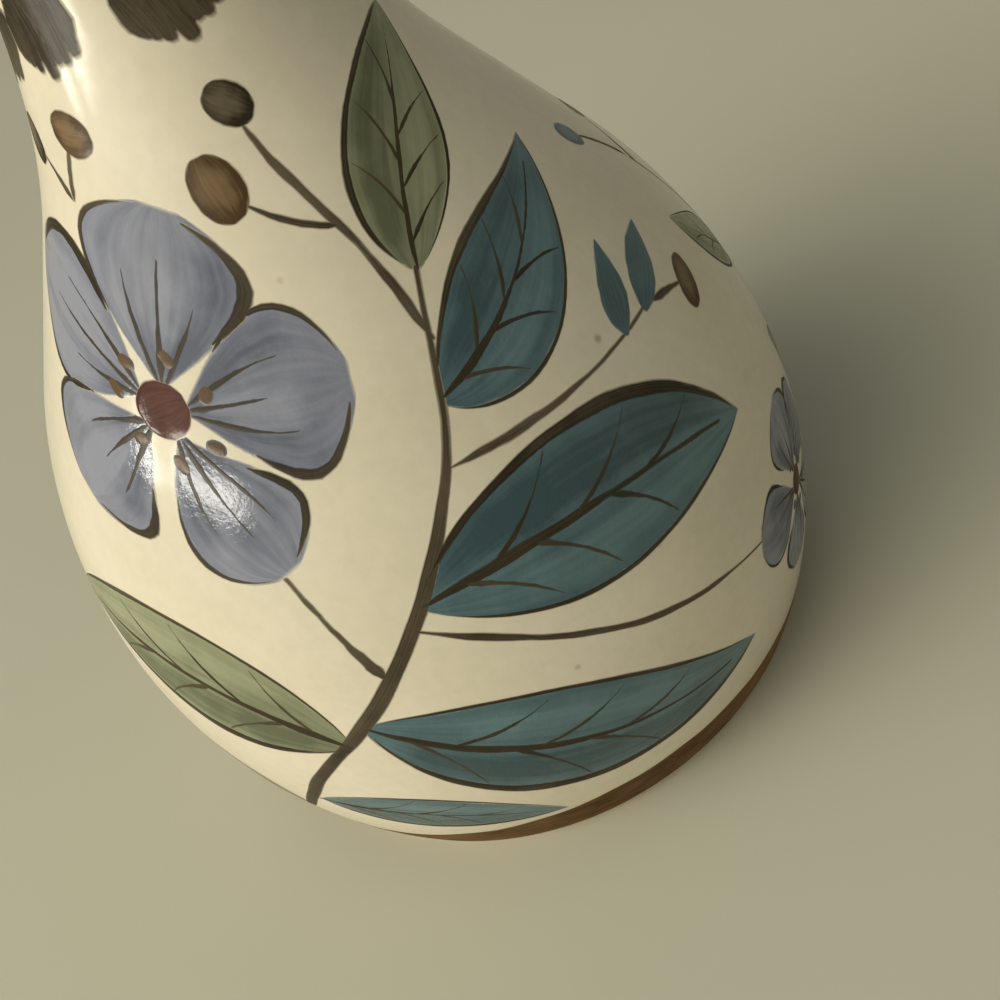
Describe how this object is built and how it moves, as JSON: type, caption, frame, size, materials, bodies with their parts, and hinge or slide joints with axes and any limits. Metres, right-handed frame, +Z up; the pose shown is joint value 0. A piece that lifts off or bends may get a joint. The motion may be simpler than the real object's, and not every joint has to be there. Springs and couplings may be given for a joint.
{
  "type": "bud vase",
  "caption": "Teardrop stoneware bud vase with a broad foot, narrow throat and flared lip, for a stem or two of flowers.",
  "frame": {"origin": "centre of the foot's resting face, on the vase's axis", "axes": "+Z up along the vase's axis, -Y towards the viewer's side, +X to the right"},
  "size_m": [0.1, 0.1, 0.1444],
  "materials": {
    "cream_glaze": "warm cream glaze, glossy, faintly speckled",
    "bare_clay": "bare fired stoneware, matt and slightly gritty",
    "brown_slip": "iron brown brushed slip under clear glaze"
  },
  "bodies": {
    "root": {"foot_ring": "bare_clay", "base_disc": "bare_clay", "belly_wall": "cream_glaze", "shoulder_wall": "cream_glaze", "neck_lip": "cream_glaze", "foot_band": "brown_slip", "neck_dabs": "brown_slip"}
  },
  "joints": []
}
